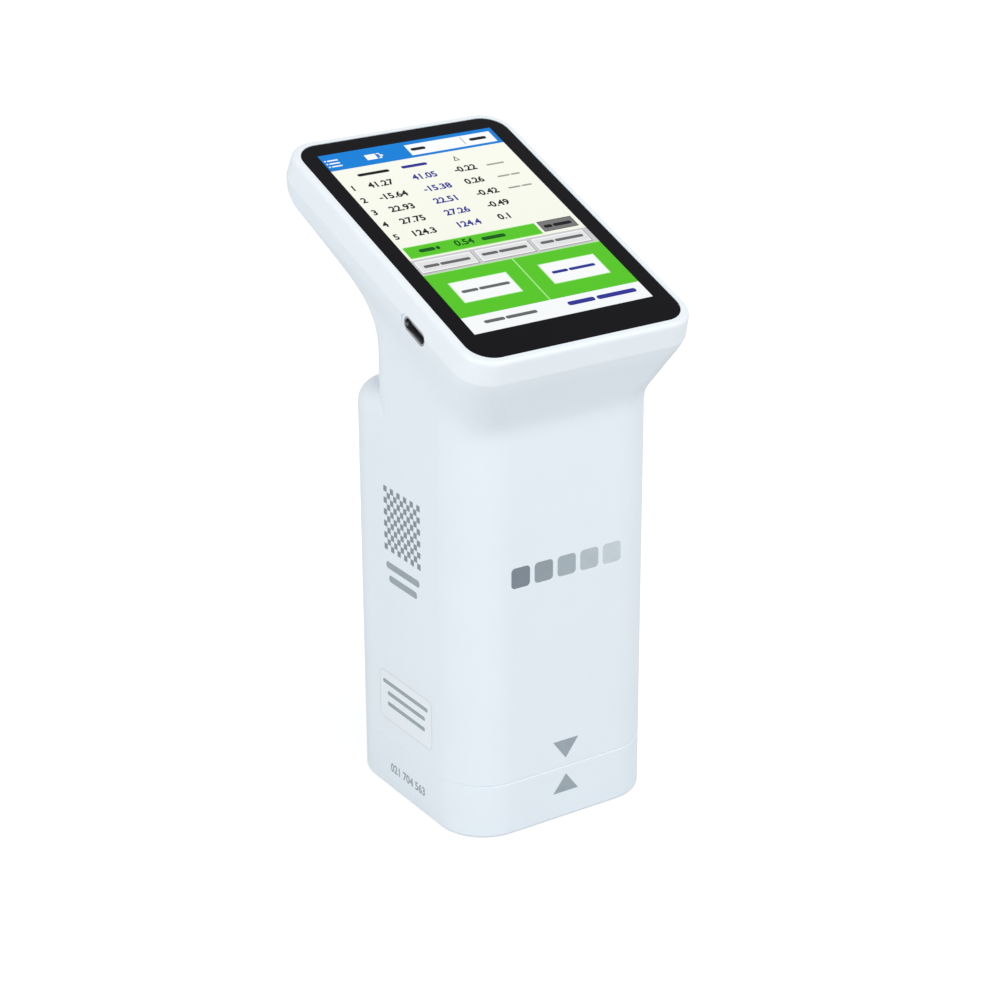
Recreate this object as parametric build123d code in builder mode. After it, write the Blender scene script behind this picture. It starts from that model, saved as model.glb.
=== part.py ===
from math import atan, cos, degrees, radians, sin, tan
import os

from build123d import *

os.makedirs("parts", exist_ok=True)

# Column, millimetres. The front faces -Y, the socket side -X, and the cap stands on Z = 0
body_width = 55.8
body_depth = 56.7
body_corner = 12.3
housing_wall = 2.2
cap_height = 14.0
shoulder_height = 103.6
shoulder_round = 5.0

# Head
glass_tilt = 20.0
glass_width = 57.8
glass_length = 86.9
glass_corner = 6.0
glass_y = 4.9
glass_z = 141.0
rim_width = 2.0
rim_draft = 0.6
bezel_depth = 6.0

# Display stack, depths below the glass face
glass_drop = 0.1
glass_thick = 1.1
gasket_thick = 0.3
fit_gap = 0.15
ledge_thick = 1.4
ledge_width = 2.4
border_across = 2.6
border_along = 3.7
display_thick = 2.3
bracket_thick = 0.8
window_gap = 0.5
bracket_gap_across = 0.7
bracket_gap_along = 1.05
bracket_screw_across = 20.0
bracket_screw_set = 1.95
bracket_opening_width = 36.0
bracket_opening_length = 22.0
bracket_opening_along = 24.0
flex_set = 1.75
flex_width = 20.0
flex_thick = 0.2
flex_slot = 3.0
rim_round = 1.2
bezel_wall = 1.8
tongue_thick = 1.2
tongue_height = 1.4

# Main board in the head, and what it carries
socket_depth = 7.4
socket_along = -21.0
socket_width = 9.0
socket_height = 3.2
socket_length = 7.3
socket_skin = 0.6
socket_bevel = 0.5
board_thick = 1.2
board_width = 54.0
board_margin = 1.0
board_screw_grip = 3.5
board_high = 8.0
post_radius = 2.0
post_across = 15.0
post_low = -31.0
post_high = 3.0
key_depth = 8.3
key_width = 9.0
key_height = 2.6
key_proud = 0.5
key_gap = 0.1
key_travel = 0.5
key_flange = 0.9
key_seat = 0.3

main_chip_along = -29.0
main_chip_width = 10.0
main_chip_length = 9.0
main_chip_height = 1.2
side_chip_places = [(-10.0, -10.0), (9.0, -8.0)]
side_chip_width = 6.0
side_chip_length = 5.0
side_chip_height = 1.0
buzzer_across = -19.0
buzzer_along = -22.0
buzzer_radius = 4.5
buzzer_height = 3.0

# Calibration cap and white tile
cap_wall = 2.2
cap_floor = 2.2
seam_chamfer = 0.25
cushion_thick = 0.8
tile_radius = 15.0
tile_thick = 2.4
ring_radius = 18.5
ring_lip = 1.2
ring_cover = 0.6
tile_air = 0.3

# Base of the instrument, which the cap slips over
spigot_gap = 0.3
base_bottom = 7.2
base_top = 18.0
base_wall = 1.8
base_floor = 2.0
port_radius = 4.0
aperture_radius = 12.5
boss_radius = 3.2
boss_height = 12.0
boss_inset_x = 7.3
boss_inset_y = 7.35
base_screw = 1.0
base_screw_length = 16.0
screw_head = 1.8
screw_head_height = 1.4
screw_free = 0.2

# Integrating sphere and its lamps and sensor
cavity_radius = 15.0
sphere_wall = 3.0
sphere_floor = 1.0
flange_radius = 22.6
flange_thick = 2.5
crown_height = 12.4
crown_radius = 10.6
view_angle = 8.0
barrel_bore = 2.7
barrel_radius = 3.5
barrel_length = 13.0
collar_radius = 5.4
barrel_start = 35.0
barrel_seat = 40.0
lens_seat = 37.5
led_circle = 13.5
led_count = 8
led_hole = 1.4
led_radius = 1.2
lamp_channel = 8.4
lamp_board_inner = 11.2
lamp_board_thick = 1.4
sensor_board_size = 16.0
sphere_screw_circle = 20.4
sphere_screw_length = 11.0

# Battery and its tray
battery_side_room = 10.9
battery_thick = 10.9
battery_height = 42.4
tray_floor = 3.0
tray_wall = 1.5
tray_shelf = 46.5
shelf_thick = 2.0
tray_height = 26.0
tray_front = 8.0
tray_screw_x = 10.0
tray_screw_y = 19.0
tray_screw_length = 3.5

# Neck, and how the housing opens out from it to the head
neck_back = 15.5
neck_corner = 9.0
flare_start = 98.5
flare_knee = 104.6
flare_round = 11.0
lip_depth = 7.4
lip_round = 3.5
nape_round = 13.0
belly_slope = 36.0
belly_knee = 18.0
belly_knee_depth = 13.6
belly_round = 40.0
belly_depth = 10.3
flare_stations = [0, 0.1, 0.2, 0.32, 0.46, 0.62, 0.78, 0.9, 1.0]


def save(piece, name):
    piece.part.label = name
    export_step(piece.part, f"parts/{name}.step")


glass_plane = Plane(
    origin=(0, glass_y, glass_z),
    x_dir=(1, 0, 0),
    z_dir=(0, -sin(radians(glass_tilt)), cos(radians(glass_tilt))),
)
head_width = glass_width + 2 * (rim_width + rim_draft)
head_length = glass_length + 2 * (rim_width + rim_draft)
head_corner = glass_corner + rim_width


glass_axis = Axis((0, 0, 0), tuple(glass_plane.z_dir))


def head_plane(depth):
    """The plane parallel to the glass, this far below its face."""
    return glass_plane.offset(-depth)


def head_point(along, depth):
    """Y and Z of a point on the head's centre plane."""
    point = head_plane(depth).from_local_coords(Vector(0, along, 0))
    return point.Y, point.Z


def front_rail(inset):
    """Side view of the housing's front: up the column, then out to the head's lip."""
    front_y = inset - body_depth / 2
    with BuildLine(Plane.YZ) as rail:
        FilletPolyline(
            (front_y, flare_start),
            (front_y, flare_knee),
            head_point(inset - head_length / 2, lip_depth),
            head_point(inset - head_length / 2, bezel_depth),
            radius=[flare_round + inset, max(lip_round - inset, 0.5) / 3],
        )
    return rail.wires()[0]


def nape_rail(inset):
    """Side view of the housing's back: up the neck, out under the head, up its lip."""
    end = head_length / 2 - inset
    nape_y = neck_back - inset
    knee_y, knee_z = head_point(belly_knee, belly_knee_depth - inset)
    nape_z = knee_z - tan(radians(belly_slope)) * (knee_y - nape_y)
    with BuildLine(Plane.YZ) as rail:
        FilletPolyline(
            (nape_y, flare_start),
            (nape_y, nape_z),
            (knee_y, knee_z),
            head_point(end, belly_depth - inset),
            head_point(end, bezel_depth),
            radius=[nape_round + inset, belly_round + inset, max(lip_round - inset, 0.8)],
        )
    return rail.wires()[0]


def flare_form(inset):
    """Outlines that turn step by step from the neck to the parting plane under the bezel."""
    front = front_rail(inset)
    nape = nape_rail(inset)
    start_y = (front @ 0).Y
    reach = (front @ 1).Y - start_y
    with BuildPart() as form:
        for station in flare_stations:
            low = front @ station
            span = (nape @ station) - low
            spread = (low.Y - start_y) / reach
            width = body_width + (head_width - body_width) * spread - 2 * inset
            near = body_corner + (head_corner - body_corner) * spread - inset
            far = neck_corner + (head_corner - neck_corner) * spread - inset
            with BuildSketch(Plane(origin=low, x_dir=(1, 0, 0), z_dir=Vector(1, 0, 0).cross(span))) as outline:
                Rectangle(width, span.length, align=(Align.CENTER, Align.MIN))
                fillet(outline.vertices().group_by(Axis.Y)[0], near)
                fillet(outline.vertices().group_by(Axis.Y)[-1], far)
        loft()
    return form.part


def neck_outline(inset):
    with BuildSketch(Plane.XY.offset(shoulder_height - 2 * shoulder_round)) as outline:
        with Locations((0, (neck_back - body_depth / 2) / 2)):
            Rectangle(body_width - 2 * inset, neck_back + body_depth / 2 - 2 * inset)
        fillet(outline.vertices().group_by(Axis.Y)[0], body_corner - inset)
        fillet(outline.vertices().group_by(Axis.Y)[-1], neck_corner - inset)
    return outline.sketch


# Depths of the display stack and the board below the glass plane
gasket_top = glass_drop + glass_thick
ledge_top = gasket_top + gasket_thick
ledge_bottom = ledge_top + ledge_thick
display_bottom = gasket_top + display_thick
bracket_bottom = display_bottom + bracket_thick
board_top = socket_depth + socket_height / 2
board_bottom = board_top + board_thick
display_width = glass_width - 2 * border_across
display_length = glass_length - 2 * border_along
window_width = display_width + 2 * window_gap
window_length = display_length + 2 * window_gap
bracket_width = head_width - 2 * (bezel_wall + bracket_gap_across)
bracket_length = head_length - 2 * (bezel_wall + bracket_gap_along)
bracket_screw_along = display_length / 2 + bracket_screw_set
flex_along = flex_set - display_length / 2
board_low = flex_along - board_margin

# Heights of the tile and the sphere above the table
tile_top = cap_floor + cushion_thick + tile_thick
ring_top = tile_top + ring_cover
aperture_bottom = tile_top + tile_air
sphere_centre = base_bottom + sphere_floor + cavity_radius
crown_top = sphere_centre + crown_height
sphere_outer = cavity_radius + sphere_wall
flange_bottom = sphere_centre - flange_thick
boss_x = body_width / 2 - boss_inset_x
boss_y = body_depth / 2 - boss_inset_y
battery_width = body_width - 2 * battery_side_room
battery_bottom = tray_shelf + shelf_thick + tray_floor
key_seat_x = head_width / 2 - housing_wall + key_seat


def body_outline(plane, inset):
    """The rounded square of the column, drawn in by the inset."""
    with BuildSketch(plane) as outline:
        RectangleRounded(body_width - 2 * inset, body_depth - 2 * inset, body_corner - inset)
    return outline.sketch


def level(height):
    """A horizontal plane at a height above the table."""
    return Plane.XY.offset(height)


def side_plane(side, reach, depth):
    """A plane square to X on one side of the head, looking outwards, at the socket's place."""
    y, z = head_point(socket_along, depth)
    along = (0, cos(radians(glass_tilt)), sin(radians(glass_tilt)))
    return Plane(origin=(side * reach, y, z), x_dir=along, z_dir=(side, 0, 0))


def view_plane(distance):
    """A plane square to the tilted line of sight, at a distance from the measuring port."""
    lean = radians(view_angle)
    port = Vector(0, 0, aperture_bottom)
    line = Vector(0, -sin(lean), cos(lean))
    return Plane(origin=port + line * distance, x_dir=(1, 0, 0), z_dir=line)


def pan_screws(seats, shank, length, head, head_height):
    """Pan-head screws: each plane is the seat under a head, and its Z leads out through the head."""
    with BuildPart() as group:
        for seat in seats:
            with BuildSketch(seat):
                Circle(head)
            extrude(amount=head_height)
            with BuildSketch(seat):
                Circle(shank)
            extrude(amount=-length)
            with BuildSketch(seat.offset(head_height)):
                Rectangle(head, 0.4)
                Rectangle(0.4, head)
            extrude(amount=-head_height / 2, mode=Mode.SUBTRACT)
    return group


def corner_points(across, along):
    """Four points set out evenly about the centre."""
    return [(x, y) for x in (-across, across) for y in (-along, along)]


# Housing: column, shoulder, neck and the tray of the head, moulded in one piece
def housing_form(inset, bottom, top_round):
    with BuildPart() as form:
        add(body_outline(level(bottom), inset))
        extrude(amount=shoulder_height - inset - bottom)
        fillet(edges().group_by(Axis.Z)[-1], top_round)
        extrude(neck_outline(inset), amount=flare_start - shoulder_height + 2 * shoulder_round)
        add(flare_form(inset))
    return form.part


hollow = housing_form(housing_wall, cap_height, shoulder_round - housing_wall)
tongue_width = head_width - 2 * (bezel_wall + fit_gap)
tongue_length = head_length - 2 * (bezel_wall + fit_gap)
tongue_corner = head_corner - bezel_wall - fit_gap

with BuildPart() as main_housing:
    add(housing_form(0, cap_height, shoulder_round))
    chamfer(edges().group_by(Axis.Z)[0], seam_chamfer)
    add(hollow, mode=Mode.SUBTRACT)
    # tongue that stands up inside the bezel
    with BuildSketch(head_plane(lip_depth)):
        RectangleRounded(tongue_width, tongue_length, tongue_corner)
        RectangleRounded(
            tongue_width - 2 * tongue_thick,
            tongue_length - 2 * tongue_thick,
            tongue_corner - tongue_thick,
            mode=Mode.SUBTRACT,
        )
    extrude(amount=lip_depth - bezel_depth + tongue_height)
    # corner bosses for the screws of the base
    with BuildSketch(level(base_top)):
        with Locations(corner_points(boss_x, boss_y)):
            Circle(boss_radius)
        add(body_outline(Plane.XY, housing_wall / 2), mode=Mode.INTERSECT)
    extrude(amount=boss_height)
    with BuildSketch(level(base_top)):
        with Locations(corner_points(boss_x, boss_y)):
            Circle(base_screw + 0.05)
    extrude(amount=boss_height - 2, mode=Mode.SUBTRACT)
    # shelf for the battery tray
    with BuildSketch(level(tray_shelf)):
        with Locations((0, (body_depth - housing_wall) / 2)):
            Rectangle(battery_width - 4, battery_thick + 2, align=(Align.CENTER, Align.MAX))
    extrude(amount=shelf_thick)
    with BuildSketch(level(tray_shelf)):
        with Locations((-tray_screw_x, tray_screw_y), (tray_screw_x, tray_screw_y)):
            Circle(base_screw + 0.05)
    extrude(amount=shelf_thick, mode=Mode.SUBTRACT)
    # slot of the socket, with its shallow bevel
    with BuildSketch(side_plane(-1, head_width / 2 + 1, socket_depth)):
        SlotOverall(socket_width + 2 * fit_gap, socket_height + 2 * fit_gap)
    extrude(amount=-socket_length, mode=Mode.SUBTRACT)
    with BuildSketch(side_plane(-1, head_width / 2 + 1, socket_depth)):
        SlotOverall(socket_width + 1.8, socket_height + 1.8)
    extrude(amount=-1 - socket_bevel, mode=Mode.SUBTRACT)
    # slot of the key, with a flat seat behind it for the key's flange
    with BuildSketch(side_plane(1, head_width / 2 + 1, key_depth)):
        SlotOverall(key_width + 2 * key_gap, key_height + 2 * key_gap)
    extrude(amount=-socket_length, mode=Mode.SUBTRACT)
    with BuildSketch(side_plane(1, key_seat_x, key_depth)):
        SlotOverall(key_width + 2.4, key_height + 2.4)
    extrude(amount=-socket_length + 3, mode=Mode.SUBTRACT)
save(main_housing, "main_housing")


# Bezel with its drafted rim and the ledge that carries the glass
with BuildPart() as bezel_frame:
    with BuildSketch(head_plane(bezel_depth)):
        RectangleRounded(head_width, head_length, head_corner)
    extrude(amount=bezel_depth, taper=degrees(atan(rim_draft / bezel_depth)))
    fillet(faces().sort_by(glass_axis)[-1].edges(), rim_round)
    with BuildSketch(head_plane(ledge_top)):
        RectangleRounded(glass_width + 2 * fit_gap, glass_length + 2 * fit_gap, glass_corner + fit_gap)
    extrude(amount=ledge_top, mode=Mode.SUBTRACT)
    with BuildSketch(head_plane(bezel_depth)):
        RectangleRounded(window_width, window_length, 1.5)
    extrude(amount=bezel_depth, mode=Mode.SUBTRACT)
    with BuildSketch(head_plane(bezel_depth)):
        RectangleRounded(head_width - 2 * bezel_wall, head_length - 2 * bezel_wall, head_corner - bezel_wall)
    extrude(amount=bezel_depth - ledge_bottom, mode=Mode.SUBTRACT)
    with BuildSketch(head_plane(display_bottom)):
        with Locations(corner_points(bracket_screw_across, bracket_screw_along)):
            Circle(1.3)
    extrude(amount=display_bottom - ledge_bottom)
    with BuildSketch(head_plane(display_bottom)):
        with Locations(corner_points(bracket_screw_across, bracket_screw_along)):
            Circle(0.65)
    extrude(amount=display_bottom - ledge_top - 0.3, mode=Mode.SUBTRACT)
    with BuildSketch(side_plane(-1, head_width / 2 + 1, socket_depth)):
        SlotOverall(socket_width + 2 * fit_gap, socket_height + 2 * fit_gap)
    extrude(amount=-socket_length, mode=Mode.SUBTRACT)
    with BuildSketch(side_plane(-1, head_width / 2 + 1, socket_depth)):
        SlotOverall(socket_width + 1.8, socket_height + 1.8)
    extrude(amount=-1 - socket_bevel, mode=Mode.SUBTRACT)
save(bezel_frame, "bezel_frame")


# Cover glass
with BuildPart() as cover_glass:
    with BuildSketch(head_plane(gasket_top)):
        RectangleRounded(glass_width, glass_length, glass_corner)
    extrude(amount=glass_thick)
save(cover_glass, "cover_glass")


# Gasket between the glass and the ledge
with BuildPart() as bezel_gasket:
    with BuildSketch(head_plane(ledge_top)):
        RectangleRounded(glass_width - 0.4, glass_length - 0.4, glass_corner)
        RectangleRounded(window_width + 0.6, window_length + 0.6, 1.8, mode=Mode.SUBTRACT)
    extrude(amount=gasket_thick)
save(bezel_gasket, "bezel_gasket")


# Display panel
with BuildPart() as display_panel:
    with BuildSketch(head_plane(display_bottom)):
        RectangleRounded(display_width, display_length, 1.0)
    extrude(amount=display_thick)
save(display_panel, "display_panel")


# Bracket behind the display, with posts for the main board
post_points = [(x, y) for x in (-post_across, post_across) for y in (post_low, post_high)]
with BuildPart() as display_bracket:
    with BuildSketch(head_plane(bracket_bottom)):
        RectangleRounded(bracket_width, bracket_length, tongue_corner - 1)
        with Locations((0, flex_along)):
            Rectangle(flex_width + 2, flex_slot, mode=Mode.SUBTRACT)
        with Locations((0, bracket_opening_along)):
            RectangleRounded(bracket_opening_width, bracket_opening_length, 3, mode=Mode.SUBTRACT)
    extrude(amount=bracket_thick)
    with BuildSketch(head_plane(board_top)):
        with Locations(post_points):
            Circle(post_radius)
    extrude(amount=board_top - bracket_bottom)
    with BuildSketch(head_plane(board_top)):
        with Locations(post_points):
            Circle(0.85)
    extrude(amount=board_top - bracket_bottom - 0.5, mode=Mode.SUBTRACT)
    with BuildSketch(head_plane(bracket_bottom)):
        with Locations(corner_points(bracket_screw_across, bracket_screw_along)):
            Circle(0.75)
    extrude(amount=bracket_thick, mode=Mode.SUBTRACT)
save(display_bracket, "display_bracket")

under_bracket = head_plane(bracket_bottom)
bracket_seats = [
    Plane(origin=under_bracket.from_local_coords(Vector(x, y, 0)), x_dir=(1, 0, 0), z_dir=-under_bracket.z_dir)
    for x, y in corner_points(bracket_screw_across, bracket_screw_along)
]
bracket_screws = pan_screws(bracket_seats, 0.6, bracket_thick + 1.2, 1.0, 0.6)
save(bracket_screws, "bracket_screws")


# Main board
with BuildPart() as main_board:
    with BuildSketch(head_plane(board_bottom)):
        with Locations((0, (board_low + board_high) / 2)):
            RectangleRounded(board_width, board_high - board_low, 2)
        with Locations(post_points):
            Circle(1.0, mode=Mode.SUBTRACT)
    extrude(amount=board_thick)
save(main_board, "main_board")

under_board = head_plane(board_bottom)
board_seats = [
    Plane(origin=under_board.from_local_coords(Vector(x, y, 0)), x_dir=(1, 0, 0), z_dir=-under_board.z_dir)
    for x, y in post_points
]
board_screws = pan_screws(board_seats, 0.8, board_thick + board_screw_grip, 1.6, 1.1)
save(board_screws, "board_screws")

# Chips, under the board and beside the key
with BuildPart() as board_chips:
    with BuildSketch(under_board):
        with Locations((0, main_chip_along)):
            Rectangle(main_chip_width, main_chip_length)
    extrude(amount=-main_chip_height)
    with BuildSketch(under_board):
        with Locations(side_chip_places):
            Rectangle(side_chip_width, side_chip_length)
    extrude(amount=-side_chip_height)
save(board_chips, "board_chips")

# Buzzer
with BuildPart() as buzzer:
    with BuildSketch(under_board):
        with Locations((buzzer_across, buzzer_along)):
            Circle(buzzer_radius)
    extrude(amount=-buzzer_height)
    fillet(faces().sort_by(glass_axis)[0].edges(), 0.4)
save(buzzer, "buzzer")

# Flex between the display and the board
with BuildPart() as display_flex:
    with BuildSketch(head_plane(board_top)):
        with Locations((0, flex_along)):
            Rectangle(flex_width, flex_thick)
    extrude(amount=board_top - display_bottom)
save(display_flex, "display_flex")

# Ribbon from the sensor board up to the main board
ribbon_y = -10.0
with BuildPart() as sensor_ribbon:
    rise = tan(radians(glass_tilt))
    lean = tan(radians(view_angle))
    sensor_top = view_plane(barrel_start + barrel_length - 1 + board_thick).origin
    drop = board_bottom / cos(radians(glass_tilt))
    with BuildSketch(Plane.YZ):
        with BuildLine():
            Polyline(
                (ribbon_y, sensor_top.Z + (ribbon_y - sensor_top.Y) * lean),
                (ribbon_y, glass_z + (ribbon_y - glass_y) * rise - drop),
                (ribbon_y + 0.2, glass_z + (ribbon_y + 0.2 - glass_y) * rise - drop),
                (ribbon_y + 0.2, sensor_top.Z + (ribbon_y + 0.2 - sensor_top.Y) * lean),
                close=True,
            )
        make_face()
    extrude(amount=4, both=True)
save(sensor_ribbon, "sensor_ribbon")

# Socket
socket_mouth = head_width / 2 - socket_skin
with BuildPart() as usb_socket:
    with BuildSketch(side_plane(-1, socket_mouth, socket_depth)):
        SlotOverall(socket_width, socket_height)
    extrude(amount=-socket_length)
    with BuildSketch(side_plane(-1, socket_mouth, socket_depth)):
        SlotOverall(socket_width - 0.6, socket_height - 0.6)
    extrude(amount=-socket_length + 0.8, mode=Mode.SUBTRACT)
    with BuildSketch(side_plane(-1, socket_mouth - 1.2, socket_depth)):
        Rectangle(6.7, 0.7)
    extrude(amount=-socket_length + 1.6)
save(usb_socket, "usb_socket")

# Side switch on the board, behind the key
key_inner = key_seat_x - key_flange - 1.8
with BuildPart() as power_switch:
    with BuildSketch(side_plane(1, key_inner - key_travel - 0.1, (key_depth + board_top) / 2)):
        Rectangle(1.8, board_top - key_depth)
    extrude(amount=-1.0)
    with BuildSketch(side_plane(1, key_inner - key_travel - 0.6, board_top - 0.9)):
        Rectangle(6.0, 1.8)
    extrude(amount=-3.2)
save(power_switch, "power_switch")

# Key
with BuildPart() as power_key:
    with BuildSketch(side_plane(1, key_seat_x - key_flange, key_depth)):
        SlotOverall(key_width, key_height)
    extrude(amount=head_width / 2 + key_proud - key_seat_x + key_flange)
    fillet(faces().sort_by(Axis.X)[-1].edges(), 0.3)
    with BuildSketch(side_plane(1, key_seat_x - key_flange, key_depth)):
        SlotOverall(key_width + 1.6, key_height + 1.6)
    extrude(amount=key_flange)
    with BuildSketch(side_plane(1, key_inner, key_depth)):
        Rectangle(3.0, 1.2)
    extrude(amount=key_seat_x - key_flange - key_inner)
save(power_key, "power_key")


# Calibration cap
with BuildPart() as cap_shell:
    add(body_outline(level(0), 0))
    extrude(amount=cap_height)
    fillet(edges().group_by(Axis.Z)[0], 0.8)
    chamfer(edges().group_by(Axis.Z)[-1], seam_chamfer)
    add(body_outline(level(cap_floor), cap_wall))
    extrude(amount=cap_height - cap_floor, mode=Mode.SUBTRACT)
save(cap_shell, "cap_shell")

# Foam cushion under the tile
with BuildPart() as tile_cushion:
    with BuildSketch(level(cap_floor)):
        Circle(tile_radius)
    extrude(amount=cushion_thick)
save(tile_cushion, "tile_cushion")

# White reference tile
with BuildPart() as white_tile:
    with BuildSketch(level(cap_floor + cushion_thick)):
        Circle(tile_radius)
    extrude(amount=tile_thick)
save(white_tile, "white_tile")

# Ring that holds the tile
with BuildPart() as tile_ring:
    with BuildSketch(level(cap_floor)):
        Circle(ring_radius)
    extrude(amount=ring_top - cap_floor)
    chamfer(edges().group_by(Axis.Z)[-1], 0.3)
    with BuildSketch(level(cap_floor)):
        Circle(tile_radius + fit_gap)
    extrude(amount=tile_top - cap_floor, mode=Mode.SUBTRACT)
    with BuildSketch(level(cap_floor)):
        Circle(tile_radius - ring_lip)
    extrude(amount=ring_top - cap_floor, mode=Mode.SUBTRACT)
save(tile_ring, "tile_ring")


# Base of the instrument
base_inset = cap_wall + spigot_gap
with BuildPart() as base_cover:
    add(body_outline(level(base_bottom), base_inset))
    extrude(amount=base_top - base_bottom)
    chamfer(edges().group_by(Axis.Z)[0], 0.6)
    add(body_outline(level(base_bottom + base_floor), base_inset + base_wall))
    extrude(amount=base_top - base_bottom - base_floor, mode=Mode.SUBTRACT)
    with BuildSketch(level(base_bottom)):
        with Locations(corner_points(boss_x, boss_y)):
            Circle(boss_radius)
        add(body_outline(Plane.XY, base_inset + base_wall / 2), mode=Mode.INTERSECT)
    extrude(amount=base_top - base_bottom)
    with BuildSketch(level(base_bottom)):
        Circle(flange_radius - 0.6)
    extrude(amount=flange_bottom - base_bottom)
    with BuildSketch(level(base_bottom)):
        Circle(sphere_outer + fit_gap)
    extrude(amount=flange_bottom - base_bottom, mode=Mode.SUBTRACT)
    with BuildSketch(level(base_bottom)):
        with Locations(corner_points(boss_x, boss_y)):
            Circle(base_screw + screw_free)
    extrude(amount=base_top - base_bottom, mode=Mode.SUBTRACT)
    with BuildSketch(level(base_bottom)):
        with Locations(corner_points(boss_x, boss_y)):
            Circle(screw_head + 0.3)
    extrude(amount=base_floor + 0.2, mode=Mode.SUBTRACT)
    with BuildSketch(level(flange_bottom)):
        with PolarLocations(sphere_screw_circle, 4, start_angle=45):
            Circle(base_screw + 0.05)
    extrude(amount=-7, mode=Mode.SUBTRACT)
save(base_cover, "base_cover")

base_seats = [
    Plane(origin=(x, y, base_bottom + base_floor + 0.2), x_dir=(1, 0, 0), z_dir=(0, 0, -1))
    for x, y in corner_points(boss_x, boss_y)
]
base_screws = pan_screws(base_seats, base_screw, base_screw_length, screw_head, screw_head_height)
save(base_screws, "base_screws")

# Aperture plate under the sphere
with BuildPart() as aperture_plate:
    with BuildSketch(level(aperture_bottom)):
        Circle(aperture_radius)
    extrude(amount=base_bottom - aperture_bottom)
    with BuildSketch(level(aperture_bottom)):
        Circle(port_radius)
    extrude(amount=base_bottom - aperture_bottom, mode=Mode.SUBTRACT)
save(aperture_plate, "aperture_plate")

# Foam ring that keeps stray light from the port
with BuildPart() as port_seal:
    with BuildSketch(level(ring_top)):
        Circle(ring_radius - 0.7)
        Circle(tile_radius - ring_lip + 0.5, mode=Mode.SUBTRACT)
    extrude(amount=base_bottom - ring_top)
save(port_seal, "port_seal")


# Lower half of the integrating sphere
with BuildPart() as sphere_lower:
    with BuildSketch(level(base_bottom)):
        Circle(sphere_outer)
    extrude(amount=sphere_centre - base_bottom)
    with BuildSketch(level(flange_bottom)):
        Circle(flange_radius)
    extrude(amount=flange_thick)
    with Locations((0, 0, sphere_centre)):
        Sphere(cavity_radius, mode=Mode.SUBTRACT)
    with BuildSketch(level(base_bottom)):
        Circle(port_radius + 1)
    extrude(amount=sphere_floor + 2, mode=Mode.SUBTRACT)
    with BuildSketch(level(sphere_centre)):
        Circle(cavity_radius + 1.6)
    extrude(amount=-0.5, mode=Mode.SUBTRACT)
    with BuildSketch(level(flange_bottom)):
        with PolarLocations(sphere_screw_circle, 4, start_angle=45):
            Circle(base_screw + screw_free)
    extrude(amount=flange_thick, mode=Mode.SUBTRACT)
save(sphere_lower, "sphere_lower")

# Baffle that hides the lamps from the sample
with BuildPart() as sphere_baffle:
    with BuildSketch(level(sphere_centre - 0.5)):
        Circle(cavity_radius + 1.5)
        Circle(cavity_radius / 2, mode=Mode.SUBTRACT)
    extrude(amount=0.5)
save(sphere_baffle, "sphere_baffle")

# Upper half, with the lamp channels and the tilted collar of the sensor
with BuildPart() as sphere_upper:
    with BuildSketch(level(sphere_centre)):
        Circle(flange_radius)
    extrude(amount=flange_thick)
    with BuildSketch(level(sphere_centre)):
        Circle(sphere_outer)
    extrude(amount=crown_height)
    with BuildSketch(level(sphere_centre)):
        Circle(crown_radius)
    extrude(amount=cavity_radius + sphere_wall)
    fillet(edges().group_by(Axis.Z)[-1], 2)
    with BuildSketch(view_plane(barrel_start - 2)):
        Circle(collar_radius)
    extrude(amount=barrel_seat - barrel_start + 2)
    with Locations((0, 0, sphere_centre)):
        Sphere(cavity_radius, mode=Mode.SUBTRACT)
    with BuildSketch(view_plane(barrel_start)):
        Circle(barrel_radius + 0.05)
    extrude(amount=barrel_seat - barrel_start, mode=Mode.SUBTRACT)
    with BuildSketch(view_plane(barrel_start)):
        Circle(barrel_bore - 0.3)
    extrude(amount=-5, mode=Mode.SUBTRACT)
    with BuildSketch(level(crown_top)):
        with PolarLocations(led_circle, led_count):
            Circle(led_hole)
    extrude(amount=-lamp_channel, mode=Mode.SUBTRACT)
    with BuildSketch(level(sphere_centre)):
        with PolarLocations(sphere_screw_circle, 4, start_angle=45):
            Circle(base_screw + screw_free)
    extrude(amount=flange_thick, mode=Mode.SUBTRACT)
save(sphere_upper, "sphere_upper")

sphere_seats = [
    Plane(origin=(x, y, sphere_centre + flange_thick))
    for x, y in corner_points(sphere_screw_circle * cos(radians(45)), sphere_screw_circle * sin(radians(45)))
]
sphere_screws = pan_screws(sphere_seats, base_screw, sphere_screw_length, screw_head, screw_head_height)
save(sphere_screws, "sphere_screws")

# Lamp board and its lamps
with BuildPart() as lamp_board:
    with BuildSketch(level(crown_top)):
        Circle(sphere_outer)
        Circle(lamp_board_inner, mode=Mode.SUBTRACT)
    extrude(amount=lamp_board_thick)
save(lamp_board, "lamp_board")

with BuildPart() as board_lamps:
    with BuildSketch(level(crown_top)):
        with PolarLocations(led_circle, led_count):
            Circle(led_radius)
    extrude(amount=-1.2)
save(board_lamps, "board_lamps")


# Sensor barrel on the tilted line of sight
barrel_end = barrel_start + barrel_length - 1
with BuildPart() as sensor_barrel:
    with BuildSketch(view_plane(barrel_start)):
        Circle(barrel_radius)
    extrude(amount=barrel_end - barrel_start)
    with BuildSketch(view_plane(barrel_seat)):
        Circle(collar_radius)
    extrude(amount=1.5)
    with BuildSketch(view_plane(barrel_start)):
        Circle(barrel_bore - 0.8)
    extrude(amount=lens_seat - barrel_start, mode=Mode.SUBTRACT)
    with BuildSketch(view_plane(lens_seat)):
        Circle(barrel_bore)
    extrude(amount=barrel_end - lens_seat, mode=Mode.SUBTRACT)
save(sensor_barrel, "sensor_barrel")

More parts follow.
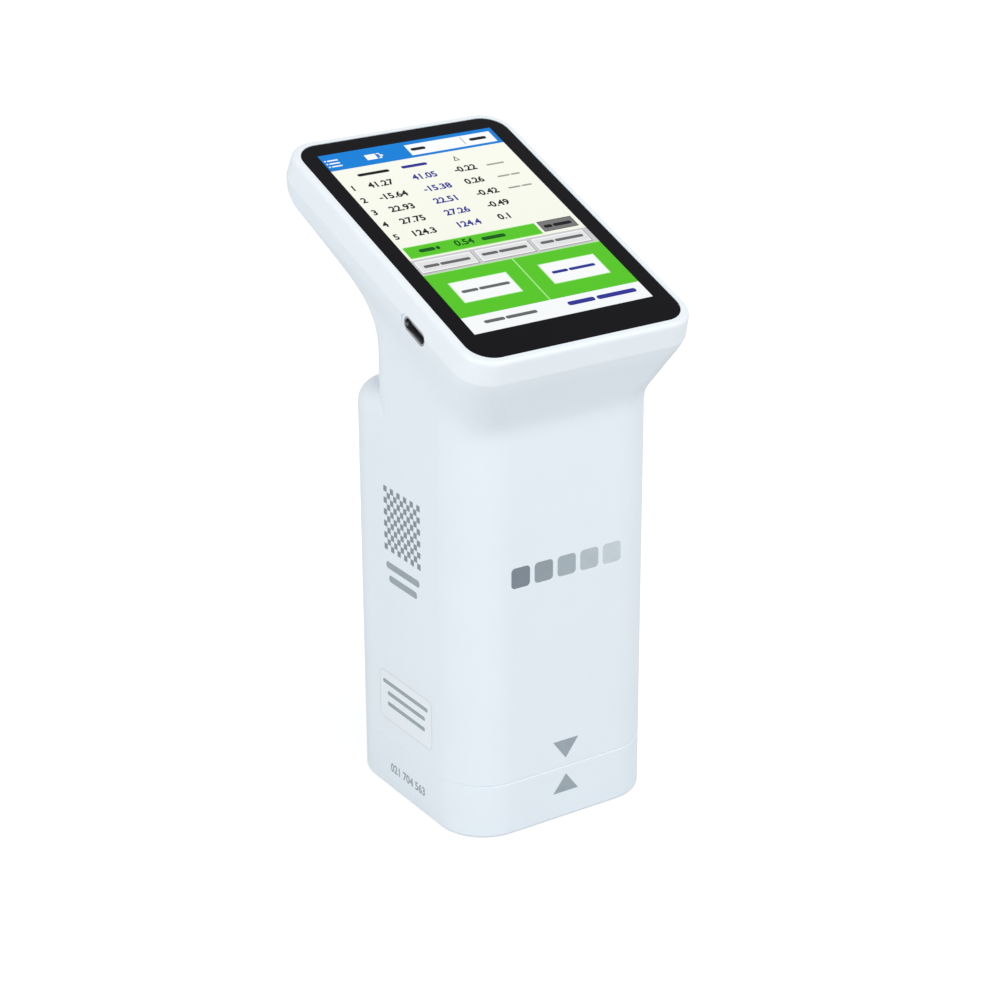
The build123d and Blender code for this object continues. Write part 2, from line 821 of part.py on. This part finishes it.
with BuildPart() as sensor_lens:
    with BuildSketch(view_plane(lens_seat)):
        Circle(barrel_bore - 0.05)
    extrude(amount=1.6)
    fillet(edges().filter_by(GeomType.CIRCLE).sort_by(Axis.Z)[-1], 0.9)
save(sensor_lens, "sensor_lens")

with BuildPart() as sensor_board:
    with BuildSketch(view_plane(barrel_end)):
        RectangleRounded(sensor_board_size, sensor_board_size, 1)
    extrude(amount=board_thick)
save(sensor_board, "sensor_board")

with BuildPart() as colour_sensor:
    with BuildSketch(view_plane(barrel_end)):
        Rectangle(3.4, 3.4)
    extrude(amount=-1.0)
save(colour_sensor, "colour_sensor")


# Battery, upright behind the sensor, in its tray
tray_back = body_depth / 2 - housing_wall - fit_gap
battery_y = tray_back - tray_wall - fit_gap - battery_thick / 2
with BuildPart() as battery_tray:
    with BuildSketch(level(tray_shelf + shelf_thick)):
        with Locations((0, battery_y)):
            RectangleRounded(battery_width + 2 * (tray_wall + fit_gap), battery_thick + 2 * (tray_wall + fit_gap), 1.5)
    extrude(amount=tray_height)
    with BuildSketch(level(battery_bottom)):
        with Locations((0, battery_y)):
            Rectangle(battery_width + 2 * fit_gap, battery_thick + 2 * fit_gap)
    extrude(amount=tray_height, mode=Mode.SUBTRACT)
    with BuildSketch(level(battery_bottom + tray_front)):
        with Locations((0, battery_y - battery_thick / 2 - tray_wall / 2)):
            Rectangle(battery_width - 10, 2 * tray_wall + 1)
    extrude(amount=tray_height, mode=Mode.SUBTRACT)
    with BuildSketch(level(battery_bottom)):
        with Locations((-tray_screw_x, tray_screw_y), (tray_screw_x, tray_screw_y)):
            Circle(screw_head + 0.2)
    extrude(amount=-screw_head_height - 0.1, mode=Mode.SUBTRACT)
    with BuildSketch(level(battery_bottom)):
        with Locations((-tray_screw_x, tray_screw_y), (tray_screw_x, tray_screw_y)):
            Circle(base_screw + screw_free)
    extrude(amount=-tray_floor, mode=Mode.SUBTRACT)
save(battery_tray, "battery_tray")

tray_seats = [
    Plane(origin=(x, tray_screw_y, battery_bottom - screw_head_height - 0.1)) for x in (-tray_screw_x, tray_screw_x)
]
tray_screws = pan_screws(tray_seats, base_screw, tray_screw_length, screw_head, screw_head_height)
save(tray_screws, "tray_screws")

with BuildPart() as battery:
    with BuildSketch(level(battery_bottom)):
        with Locations((0, battery_y)):
            RectangleRounded(battery_width, battery_thick, 1.8)
    extrude(amount=battery_height)
    fillet(edges().group_by(Axis.Z)[-1], 1.0)
save(battery, "battery")
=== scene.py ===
import math

import bmesh
import bpy
from mathutils import Matrix, Vector


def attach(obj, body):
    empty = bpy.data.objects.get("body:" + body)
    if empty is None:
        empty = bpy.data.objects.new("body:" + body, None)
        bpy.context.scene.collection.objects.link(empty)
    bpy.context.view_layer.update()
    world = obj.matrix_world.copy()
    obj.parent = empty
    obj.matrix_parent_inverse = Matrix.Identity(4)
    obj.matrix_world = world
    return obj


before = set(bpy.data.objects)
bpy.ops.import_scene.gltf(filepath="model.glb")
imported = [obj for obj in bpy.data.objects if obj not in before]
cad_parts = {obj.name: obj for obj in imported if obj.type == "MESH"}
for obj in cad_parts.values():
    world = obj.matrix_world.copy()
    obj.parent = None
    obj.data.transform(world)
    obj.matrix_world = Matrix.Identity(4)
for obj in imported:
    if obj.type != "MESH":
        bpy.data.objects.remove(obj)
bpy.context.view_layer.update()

MM = 0.001

# Places that the solids give, in millimetres
TILT = math.radians(20.0)
GLASS_CENTRE = Vector((0.0, 4.9, 141.0))
GLASS_DROP = 0.1
FRONT_FACE = -28.35
LEFT_FACE = -27.9

# The lit area of the screen: 320 by 480 dots of 0.153 mm, and the dots where its bands begin
DOT = 0.153
SCREEN_TOP = 39.02
SCREEN_WIDE = 320
SCREEN_TALL = 480
TABLE_START = 44
BAND_START = 291
PANELS_START = 330
FOOTER_START = 440

# Prints and screen content are thin layers, each one step above the last, in millimetres
LAYER = 0.012

GLASS_NORMAL = Vector((0, -math.sin(TILT), math.cos(TILT)))
FRONT_NORMAL = Vector((0, -1, 0))
LEFT_NORMAL = Vector((-1, 0, 0))


def across(x, along, rise):
    """A point on the tilted glass: x across, along its length, rise above its plane, in mm."""
    y = GLASS_CENTRE.y + along * math.cos(TILT) - rise * math.sin(TILT)
    z = GLASS_CENTRE.z + along * math.sin(TILT) + rise * math.cos(TILT)
    return Vector((x, y, z)) * MM


def on_screen(dot_x, dot_y, layer):
    """A dot of the screen, counted from its top left corner."""
    x = (dot_x - SCREEN_WIDE / 2) * DOT
    return across(x, SCREEN_TOP - dot_y * DOT, -GLASS_DROP + LAYER * layer)


def on_front(x, z, layer):
    """A point on the front face of the column."""
    return Vector((x, FRONT_FACE - LAYER * layer, z)) * MM


def on_left(along, z, layer):
    """A point on the left face of the column. Along grows towards the front."""
    return Vector((LEFT_FACE - LAYER * layer, -along, z)) * MM


# Materials

GRAIN_DEPTH = 0.00005
SCREEN_FALL = 0.94


def new_material(name):
    material = bpy.data.materials.new(name)
    material.use_nodes = True
    nodes = material.node_tree.nodes
    links = material.node_tree.links
    shader = nodes["Principled BSDF"]
    return material, nodes, links, shader


def mottled(name, colour, rough, metallic=0.0, change=0.02, scale=60.0,
            grain=0.0, grain_scale=2500.0, **sockets):
    """A surface whose colour drifts a little over the piece, with a fine moulded or cast grain."""
    material, nodes, links, shader = new_material(name)
    place = nodes.new("ShaderNodeTexCoord")
    noise = nodes.new("ShaderNodeTexNoise")
    noise.inputs["Scale"].default_value = scale
    noise.inputs["Detail"].default_value = 3.0
    ramp = nodes.new("ShaderNodeValToRGB")
    low, high = ramp.color_ramp.elements
    low.position = 0.3
    high.position = 0.7
    low.color = [max(c * (1 - change), 0) for c in colour] + [1]
    high.color = [min(c * (1 + change), 1) for c in colour] + [1]
    links.new(place.outputs["Object"], noise.inputs["Vector"])
    links.new(noise.outputs["Fac"], ramp.inputs["Fac"])
    links.new(ramp.outputs["Color"], shader.inputs["Base Color"])
    shader.inputs["Roughness"].default_value = rough
    shader.inputs["Metallic"].default_value = metallic
    for socket, value in sockets.items():
        shader.inputs[socket.replace("_", " ")].default_value = value
    if grain:
        fine = nodes.new("ShaderNodeTexNoise")
        fine.inputs["Scale"].default_value = grain_scale
        fine.inputs["Detail"].default_value = 2.0
        bump = nodes.new("ShaderNodeBump")
        bump.inputs["Strength"].default_value = grain
        bump.inputs["Distance"].default_value = GRAIN_DEPTH
        links.new(place.outputs["Object"], fine.inputs["Vector"])
        links.new(fine.outputs["Fac"], bump.inputs["Height"])
        links.new(bump.outputs["Normal"], shader.inputs["Normal"])
    return material


def two_tone(nodes, links, height, bottom, top):
    """A colour that runs from the bottom one to the top one with the height."""
    ramp = nodes.new("ShaderNodeValToRGB")
    ramp.color_ramp.elements[0].color = list(bottom) + [1]
    ramp.color_ramp.elements[1].color = list(top) + [1]
    links.new(height.outputs["Result"], ramp.inputs["Fac"])
    return ramp.outputs["Color"]


def screen_colour(name, top, glow=0.5):
    """A part of the lit screen, a little darker at the screen's lower edge than at its upper one."""
    bottom = [c * SCREEN_FALL for c in top]
    material, nodes, links, shader = new_material(name)
    place = nodes.new("ShaderNodeTexCoord")
    split = nodes.new("ShaderNodeSeparateXYZ")
    height = nodes.new("ShaderNodeMapRange")
    height.inputs["From Min"].default_value = on_screen(0, SCREEN_TALL, 0).z
    height.inputs["From Max"].default_value = on_screen(0, 0, 0).z
    links.new(place.outputs["Object"], split.inputs["Vector"])
    links.new(split.outputs["Z"], height.inputs["Value"])
    lit = two_tone(nodes, links, height, bottom, top)
    dim = two_tone(nodes, links, height, [c * (1 - glow) for c in bottom], [c * (1 - glow) for c in top])
    links.new(dim, shader.inputs["Base Color"])
    links.new(lit, shader.inputs["Emission Color"])
    shader.inputs["Emission Strength"].default_value = glow
    shader.inputs["Roughness"].default_value = 0.35
    shader.inputs["Specular IOR Level"].default_value = 0.03
    return material


body_shell = mottled("body_shell", (0.745, 0.815, 0.875), 0.46, change=0.008, grain=0.10)
# The bezel is of the body's plastic; its colour is painted a little lighter than the body's, painted
# light that brightens its faces
bezel_shell = mottled("bezel_shell", (0.79, 0.85, 0.895), 0.42, change=0.006, grain=0.08)
cap_plastic = mottled("cap_plastic", (0.745, 0.815, 0.875), 0.46, change=0.008, grain=0.10)
key_plastic = mottled("key_plastic", (0.66, 0.73, 0.79), 0.40, change=0.01, grain=0.08)
base_plastic = mottled("base_plastic", (0.035, 0.036, 0.04), 0.5, change=0.08, grain=0.15)
glass_black = mottled("glass_black", (0.0045, 0.0045, 0.006), 0.06, change=0.05,
                      Specular_IOR_Level=0.03)
foam_black = mottled("foam_black", (0.03, 0.03, 0.032), 0.95, change=0.2, scale=900,
                     grain=0.8, grain_scale=1200)
ceramic_white = mottled("ceramic_white", (0.86, 0.86, 0.85), 0.35, change=0.01)
ring_metal = mottled("ring_metal", (0.70, 0.71, 0.73), 0.32, 1.0, change=0.03, scale=300)
black_metal = mottled("black_metal", (0.03, 0.03, 0.034), 0.4, 0.8, change=0.1, scale=300)
steel = mottled("steel", (0.52, 0.52, 0.54), 0.3, 1.0, change=0.06, scale=500)
sphere_white = mottled("sphere_white", (0.88, 0.88, 0.87), 0.9, change=0.01)
board_green = mottled("board_green", (0.012, 0.13, 0.05), 0.35, change=0.15, scale=400)
chip_black = mottled("chip_black", (0.02, 0.02, 0.022), 0.5, change=0.1, scale=500)
lamp_clear = mottled("lamp_clear", (0.85, 0.80, 0.55), 0.15, change=0.04)
lens_clear = mottled("lens_clear", (0.75, 0.82, 0.88), 0.02, change=0.01,
                     Transmission_Weight=0.9, IOR=1.5)
flex_amber = mottled("flex_amber", (0.42, 0.19, 0.03), 0.3, change=0.1, scale=300)
foil = mottled("foil", (0.56, 0.58, 0.61), 0.35, 0.7, change=0.05, scale=120)
bracket_metal = mottled("bracket_metal", (0.62, 0.63, 0.65), 0.38, 1.0, change=0.04, scale=200)
print_grey = mottled("print_grey", (0.22, 0.26, 0.30), 0.6, change=0.04, scale=400)
print_pale = mottled("print_pale", (0.30, 0.36, 0.40), 0.6, change=0.04, scale=400)
print_faint = mottled("print_faint", (0.62, 0.69, 0.745), 0.5, change=0.03, scale=400)
label_film = mottled("label_film", (0.77, 0.835, 0.885), 0.28, change=0.006)

NODE_LOOKS = {
    body_shell: ["main_housing"],
    bezel_shell: ["bezel_frame"],
    cap_plastic: ["cap_shell"],
    key_plastic: ["power_key"],
    base_plastic: ["base_cover", "battery_tray"],
    glass_black: ["cover_glass"],
    foam_black: ["tile_cushion", "port_seal", "bezel_gasket"],
    ceramic_white: ["white_tile"],
    ring_metal: ["tile_ring"],
    black_metal: ["aperture_plate", "sensor_barrel"],
    steel: ["bracket_screws", "board_screws", "base_screws", "sphere_screws", "tray_screws",
            "usb_socket"],
    sphere_white: ["sphere_lower", "sphere_upper", "sphere_baffle"],
    board_green: ["main_board", "lamp_board", "sensor_board"],
    chip_black: ["board_chips", "power_switch", "buzzer", "colour_sensor", "display_panel"],
    lamp_clear: ["board_lamps"],
    lens_clear: ["sensor_lens"],
    flex_amber: ["display_flex", "sensor_ribbon"],
    foil: ["battery"],
    bracket_metal: ["display_bracket"],
}
for material, names in NODE_LOOKS.items():
    for name in names:
        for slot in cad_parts[name].material_slots:
            slot.material = material


# Thin printed and lit pieces

def add_piece(name, mesh, outwards, material, body):
    """Turns every face of a flat mesh towards the outside, and sets the mesh on its body."""
    work = bmesh.new()
    work.from_mesh(mesh)
    work.normal_update()
    flip = [face for face in work.faces if face.normal.dot(outwards) < 0]
    bmesh.ops.reverse_faces(work, faces=flip)
    work.to_mesh(mesh)
    work.free()
    piece = bpy.data.objects.new(name, mesh)
    bpy.context.scene.collection.objects.link(piece)
    mesh.materials.clear()
    mesh.materials.append(material)
    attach(piece, body)


def flat_mesh(name, shapes, place, layer):
    """One mesh of flat outlines; each is a list of points in the face's own numbers."""
    work = bmesh.new()
    for shape in shapes:
        corners = [work.verts.new(place(x, y, layer)) for x, y in shape]
        work.faces.new(corners)
    mesh = bpy.data.meshes.new(name)
    work.to_mesh(mesh)
    work.free()
    return mesh


def line_mesh(name, outer, inner, place, layer):
    """A thin closed line between two outlines with the same number of points."""
    work = bmesh.new()
    rings = [[work.verts.new(place(x, y, layer)) for x, y in ring] for ring in (outer, inner)]
    count = len(outer)
    for i in range(count):
        j = (i + 1) % count
        work.faces.new((rings[0][i], rings[0][j], rings[1][j], rings[1][i]))
    mesh = bpy.data.meshes.new(name)
    work.to_mesh(mesh)
    work.free()
    return mesh


# How wide and how tall a digit of size 1 is set, how much its strokes are thickened, and the
# distance in metres within which its points are joined
DIGIT_WIDE = 1.4
DIGIT_TALL = 1.37
DIGIT_WEIGHT = 0.03
WELD = 1e-7


def text_mesh(name, lines, place, layer):
    """Digits on a face. A line is text, left, baseline, size and down.

    Down is 1 where the face's numbers grow downwards, and -1 where they grow upwards.
    """
    joined = bmesh.new()
    for text, left, base, size, down in lines:
        curve = bpy.data.curves.new(name, "FONT")
        curve.body = text
        curve.resolution_u = 3
        curve.offset = DIGIT_WEIGHT
        source = bpy.data.objects.new(name, curve)
        mesh = bpy.data.meshes.new_from_object(source)
        for vertex in mesh.vertices:
            x = left + vertex.co.x * size * DIGIT_WIDE
            y = base - down * vertex.co.y * size * DIGIT_TALL
            vertex.co = place(x, y, layer)
        joined.from_mesh(mesh)
        bpy.data.objects.remove(source)
        bpy.data.curves.remove(curve)
        bpy.data.meshes.remove(mesh)
    bmesh.ops.remove_doubles(joined, verts=joined.verts, dist=WELD)
    bmesh.ops.triangulate(joined, faces=joined.faces)
    result = bpy.data.meshes.new(name)
    joined.to_mesh(result)
    joined.free()
    return result


def box_shape(x0, y0, x1, y1):
    return [(x0, y0), (x1, y0), (x1, y1), (x0, y1)]


def round_shape(x0, y0, x1, y1, r, steps=6):
    """A rectangle with round corners, from its lower numbers to its higher ones."""
    points = []
    centres = [(x1 - r, y1 - r, 0), (x0 + r, y1 - r, 90),
               (x0 + r, y0 + r, 180), (x1 - r, y0 + r, 270)]
    for cx, cy, start in centres:
        for i in range(steps + 1):
            turn = math.radians(start + 90 * i / steps)
            points.append((cx + r * math.cos(turn), cy + r * math.sin(turn)))
    return points


BAR_ROUND = 0.45
BAR_STEPS = 4


def word_bars(words, height, gap=2.0):
    """Round-ended bars in place of words: each is left, middle and its widths, in dots."""
    shapes = []
    for left, middle, widths in words:
        low = middle - height / 2
        high = middle + height / 2
        x = left
        for width in widths:
            shapes.append(round_shape(x, low, x + width, high, height * BAR_ROUND, BAR_STEPS))
            x += width + gap
    return shapes


# What the screen shows

def show(name, shapes, material, layer):
    mesh = flat_mesh(name, shapes, on_screen, layer)
    add_piece(name, mesh, GLASS_NORMAL, material, "instrument")


def digits(name, lines, material, layer=2):
    mesh = text_mesh(name, [line + (1,) for line in lines], on_screen, layer)
    add_piece(name, mesh, GLASS_NORMAL, material, "instrument")


def band(start, end):
    """A band over the whole width of the screen."""
    return [box_shape(0, start, SCREEN_WIDE, end)]


blue = screen_colour("lit_blue", (0.006, 0.215, 0.68))
pale = screen_colour("lit_pale", (0.93, 0.945, 0.84))
white = screen_colour("lit_white", (0.95, 0.97, 0.98))
green = screen_colour("lit_green", (0.10, 0.58, 0.022))
leaf = screen_colour("lit_leaf", (0.42, 0.86, 0.30))
grey = screen_colour("lit_grey", (0.60, 0.60, 0.62))
button = screen_colour("lit_button", (0.78, 0.78, 0.79))
slate = screen_colour("lit_slate", (0.13, 0.14, 0.14))
ink = screen_colour("lit_ink", (0.012, 0.012, 0.015), glow=0.0)
navy = screen_colour("lit_navy", (0.03, 0.035, 0.30), glow=0.2)
moss = screen_colour("lit_moss", (0.004, 0.10, 0.01), glow=0.1)
ash = screen_colour("lit_ash", (0.36, 0.36, 0.33))

show("screen_table", band(TABLE_START, BAND_START), pale, 1)
show("screen_header", band(0, TABLE_START), blue, 1)
show("screen_band_back", band(BAND_START, PANELS_START), grey, 1)
show("screen_panels", band(PANELS_START, FOOTER_START), green, 1)
show("screen_footer", band(FOOTER_START, SCREEN_TALL), white, 1)

MENU_ROWS = (15, 23, 31)
menu_dots = [box_shape(3, y, 6, y + 3) for y in MENU_ROWS]
menu_lines = [box_shape(8.5, y, 27, y + 3.2) for y in MENU_ROWS]
show("screen_menu_icon", menu_dots + menu_lines, white, 2)
show("screen_battery_icon", [
    box_shape(74, 17, 93, 31),
    box_shape(95, 17, 101, 19),
    box_shape(95, 29, 101, 31),
    box_shape(99, 19, 101, 29),
    box_shape(101.5, 21.5, 104.5, 26.5),
], white, 2)
show("screen_title_box", [box_shape(152, 9, 312, 38)], white, 2)
show("screen_title_rule", [box_shape(254.5, 12, 255.7, 33)], slate, 3)

result_lines = [box_shape(5, 286, 243, 287.5), box_shape(5, 257.6, 243, 259)]
lead = screen_colour("lit_lead", (0.19, 0.19, 0.19))
show("screen_result_bar", [box_shape(5, 259, 243, 286)], green, 2)
show("screen_result_line", result_lines, leaf, 2)
show("screen_setup_button", [box_shape(248, 257, 312, 284)], slate, 2)
show("screen_setup_face", [box_shape(250, 259, 310, 282)], lead, 3)

BUTTONS = [(4, 104), (111, 207), (214, 311)]
show("screen_button_edge", [box_shape(a, 295.5, b, 326) for a, b in BUTTONS], ash, 2)
show("screen_button_light", [box_shape(a, 295.5, b - 1.5, 324) for a, b in BUTTONS], white, 3)
show("screen_button_face", [box_shape(a + 2, 298, b - 3, 322) for a, b in BUTTONS], button, 4)

split_lines = [box_shape(156.8, PANELS_START, 159.2, FOOTER_START),
               box_shape(0, 329.3, SCREEN_WIDE, 331)]
scan_edges = [box_shape(26.2, 357.2, 129.8, 408.8), box_shape(187.2, 356.2, 290.8, 407.8)]
scan_faces = [box_shape(27.5, 358.5, 128.5, 407.5), box_shape(188.5, 357.5, 289.5, 406.5)]
show("screen_split", split_lines, leaf, 2)
show("screen_scan_edge", scan_edges, leaf, 2)
show("screen_scan_button", scan_faces, white, 3)

ROWS = [100.5, 134.5, 168, 201, 235]
FIRST = ["41.27", "-15.64", "22.93", "27.75", "124.3"]
SECOND = ["41.05", "-15.38", "22.51", "27.26", "124.4"]
CHANGE = ["-0.22", "0.26", "-0.42", "-0.49", "0.1"]
SIGNS = ["1", "2", "3", "4", "5"]
VALUE_SIZE = 14.3
SIGN_SIZE = 13.5
digits("screen_first_column", [(t, 38.5, y + 0.5, VALUE_SIZE) for t, y in zip(FIRST, ROWS)], ink)
digits("screen_second_column", [(t, 119, y, VALUE_SIZE) for t, y in zip(SECOND, ROWS)], navy)
digits("screen_change_column", [(t, 196, y - 0.5, VALUE_SIZE) for t, y in zip(CHANGE, ROWS)], ink)
digits("screen_row_numbers", [(t, 7, y + 0.5, SIGN_SIZE) for t, y in zip(SIGNS, ROWS)], ink)
digits("screen_result_value", [("0.54", 91, 277, 14)], moss, 3)

notes = [(256, 95, [33]), (256, 129, [23, 17]), (256, 162, [23, 19])]
titles = [(157, 23, [27]), (267, 23, [32])]
results = [(27, 272, [28, 7]), (139, 272, [43])]
captions = [(13, 310.5, [27, 53]), (117, 308.5, [29, 51]), (224, 308.5, [25, 52])]
show("screen_notes", word_bars(notes, 4.0), ash, 2)
show("screen_head_first", word_bars([(36, 65, [57])], 7.0), ink, 2)
show("screen_head_second", word_bars([(116, 64, [47])], 7.0), navy, 2)
show("screen_title_words", word_bars(titles, 7.5), ink, 3)
show("screen_result_words", word_bars(results, 8.0), moss, 3)
show("screen_setup_words", word_bars([(254, 271.5, [15, 34])], 7.5), ink, 4)
show("screen_button_words", word_bars(captions, 6.5), slate, 5)
show("screen_scan_words", word_bars([(36, 383, [29, 54])], 6.5), slate, 4)
show("screen_scan_words_right", word_bars([(199, 381, [29, 48])], 6.5), navy, 4)
show("screen_foot_words", word_bars([(30, 458, [36, 55])], 7.0), slate, 2)
show("screen_foot_words_right", word_bars([(179, 457, [49, 72])], 9.5, 4.0), navy, 2)

# An outlined triangle heads the column of changes
outer = [(210.5, 70.5), (221.5, 70.5), (216, 57.5)]
inner = [(212.8, 69.1), (219.2, 69.1), (216, 61.2)]
mesh = line_mesh("screen_change_sign", outer, inner, on_screen, 2)
add_piece("screen_change_sign", mesh, GLASS_NORMAL, ink, "instrument")


# Signs printed on the column and the cap

def print_on(name, shapes, place, outwards, material, body="instrument", layer=1):
    mesh = flat_mesh(name, shapes, place, layer)
    add_piece(name, mesh, outwards, material, body)


body_arrow = [(-3.5, 21.3), (3.9, 21.3), (0.2, 16.3)]
cap_arrow = [(-3.4, 7.1), (3.9, 7.1), (0.3, 11.9)]
print_on("mark_body_arrow", [body_arrow], on_front, FRONT_NORMAL, print_pale)
print_on("mark_cap_arrow", [cap_arrow], on_front, FRONT_NORMAL, print_pale, "calibration_cap")

# A plain row of five greys, from dark to light
SHADES = [(0.18, 0.22, 0.26), (0.26, 0.31, 0.35), (0.34, 0.40, 0.44), (0.43, 0.49, 0.54),
          (0.52, 0.59, 0.64)]
SHADE_LEFT = -15.5
SHADE_LOW = 65.0
SHADE_STEP = 6.5
SHADE_SIZE = 5.2
for i, tone in enumerate(SHADES):
    left = SHADE_LEFT + i * SHADE_STEP
    square = round_shape(left, SHADE_LOW, left + SHADE_SIZE, SHADE_LOW + SHADE_SIZE, 1.0)
    look = mottled(f"shade_{i + 1}", tone, 0.6, change=0.03, scale=400)
    print_on(f"front_shade_{i + 1}", [square], on_front, FRONT_NORMAL, look)

# A square of even checks above two bars
CELL = 1.5
CELLS = 11
CHECKS_LOW = 65.4
checks = []
for row in range(CELLS):
    for column in range(CELLS):
        if (row + column) % 2 == 0:
            x = (column - CELLS / 2) * CELL
            z = CHECKS_LOW + row * CELL
            checks.append(box_shape(x, z, x + CELL, z + CELL))
bars = [round_shape(-7.6, 60.6, 7.6, 62.4, 0.8), round_shape(-6.4, 57.2, 6.4, 59.0, 0.8)]
print_on("side_checks", checks, on_left, LEFT_NORMAL, print_grey)
print_on("side_check_bars", bars, on_left, LEFT_NORMAL, print_pale)

# Rating label low on the left side, with bars for its lines: left, middle and width
outer = round_shape(-12.0, 18.9, 12.3, 32.2, 2.0)
inner = round_shape(-11.75, 19.15, 12.05, 31.95, 1.75)
LABEL_LINES = [(-10.4, 29.2, 20.8), (-8.3, 26.4, 17.4), (-8.4, 23.5, 17.4)]
LABEL_HALF = 0.55
mesh = flat_mesh("side_label", [outer], on_left, 1)
add_piece("side_label", mesh, LEFT_NORMAL, label_film, "instrument")
mesh = line_mesh("side_label_edge", outer, inner, on_left, 2)
add_piece("side_label_edge", mesh, LEFT_NORMAL, print_faint, "instrument")
bars = [round_shape(x, z - LABEL_HALF, x + wide, z + LABEL_HALF, 0.5) for x, z, wide in LABEL_LINES]
print_on("side_label_lines", bars, on_left, LEFT_NORMAL, print_pale, layer=2)

mesh = text_mesh("cap_digits", [("021 704 563", -7.6, 5.0, 2.3, -1)], on_left, 1)
add_piece("cap_digits", mesh, LEFT_NORMAL, print_pale, "calibration_cap")


# Surround, floor, light and camera, in metres

WORLD_LIGHT = 0.72
FLOOR_HALF = 4.0
FLOOR_TONE = 0.73
FLOOR_LIFT = 0.44

# To the camera, in gloss and through glass the surround is plain white; elsewhere it is dimmer
world = bpy.data.worlds.new("studio")
bpy.context.scene.world = world
world.use_nodes = True
nodes = world.node_tree.nodes
links = world.node_tree.links
paths = nodes.new("ShaderNodeLightPath")
either = nodes.new("ShaderNodeMath")
either.operation = "MAXIMUM"
seen = nodes.new("ShaderNodeMath")
seen.operation = "MAXIMUM"
level = nodes.new("ShaderNodeMapRange")
level.inputs["To Min"].default_value = WORLD_LIGHT
level.inputs["To Max"].default_value = 1.0
background = nodes["Background"]
background.inputs["Color"].default_value = (1, 1, 1, 1)
links.new(paths.outputs["Is Camera Ray"], either.inputs[0])
links.new(paths.outputs["Is Glossy Ray"], either.inputs[1])
links.new(either.outputs["Value"], seen.inputs[0])
links.new(paths.outputs["Is Transmission Ray"], seen.inputs[1])
links.new(seen.outputs["Value"], level.inputs["Value"])
links.new(level.outputs["Result"], background.inputs["Strength"])

floor_mesh = bpy.data.meshes.new("floor")
corners = [(x, y, 0) for x, y in box_shape(-FLOOR_HALF, -FLOOR_HALF, FLOOR_HALF, FLOOR_HALF)]
floor_mesh.from_pydata(corners, [], [(0, 1, 2, 3)])
floor = bpy.data.objects.new("floor", floor_mesh)
bpy.context.scene.collection.objects.link(floor)

# The floor glows to the camera alone, so that it shows white without lighting the object
floor_look, nodes, links, shader = new_material("floor_white")
shader.inputs["Base Color"].default_value = (FLOOR_TONE, FLOOR_TONE, FLOOR_TONE, 1)
shader.inputs["Roughness"].default_value = 1.0
shader.inputs["Specular IOR Level"].default_value = 0.0
shader.inputs["Emission Color"].default_value = (1, 1, 1, 1)
paths = nodes.new("ShaderNodeLightPath")
lift = nodes.new("ShaderNodeMath")
lift.operation = "MULTIPLY"
lift.inputs[1].default_value = FLOOR_LIFT
links.new(paths.outputs["Is Camera Ray"], lift.inputs[0])
links.new(lift.outputs["Value"], shader.inputs["Emission Strength"])
floor_mesh.materials.append(floor_look)


def area_light(name, place, target, size, power):
    data = bpy.data.lights.new(name, "AREA")
    data.shape = "SQUARE"
    data.size = size
    data.energy = power
    lamp = bpy.data.objects.new(name, data)
    bpy.context.scene.collection.objects.link(lamp)
    lamp.location = place
    aim = Vector(target) - Vector(place)
    lamp.rotation_euler = aim.to_track_quat("-Z", "Y").to_euler()


area_light("key_light", place=(0.55, -0.9, 0.95), target=(0, 0, 0.08), size=0.7, power=6.1)
area_light("fill_light", place=(-1.1, -0.35, 0.32), target=(0, 0, 0.06), size=0.8, power=5.2)

camera_data = bpy.data.cameras.new("camera")
camera_data.lens = 93.24
camera_data.sensor_width = 36.0
camera_data.clip_start = 0.01
camera = bpy.data.objects.new("camera", camera_data)
bpy.context.scene.collection.objects.link(camera)
right = Vector((0.83618, -0.54844, -0.00363))
up = Vector((0.21380, 0.31987, 0.92303))
back = Vector((-0.50506, -0.77259, 0.38472))
place = Vector((-0.317545, -0.485689, 0.316139))
camera.matrix_world = Matrix((
    (right.x, up.x, back.x, place.x),
    (right.y, up.y, back.y, place.y),
    (right.z, up.z, back.z, place.z),
    (0, 0, 0, 1),
))
bpy.context.scene.camera = camera
bpy.context.scene.view_settings.view_transform = "Standard"
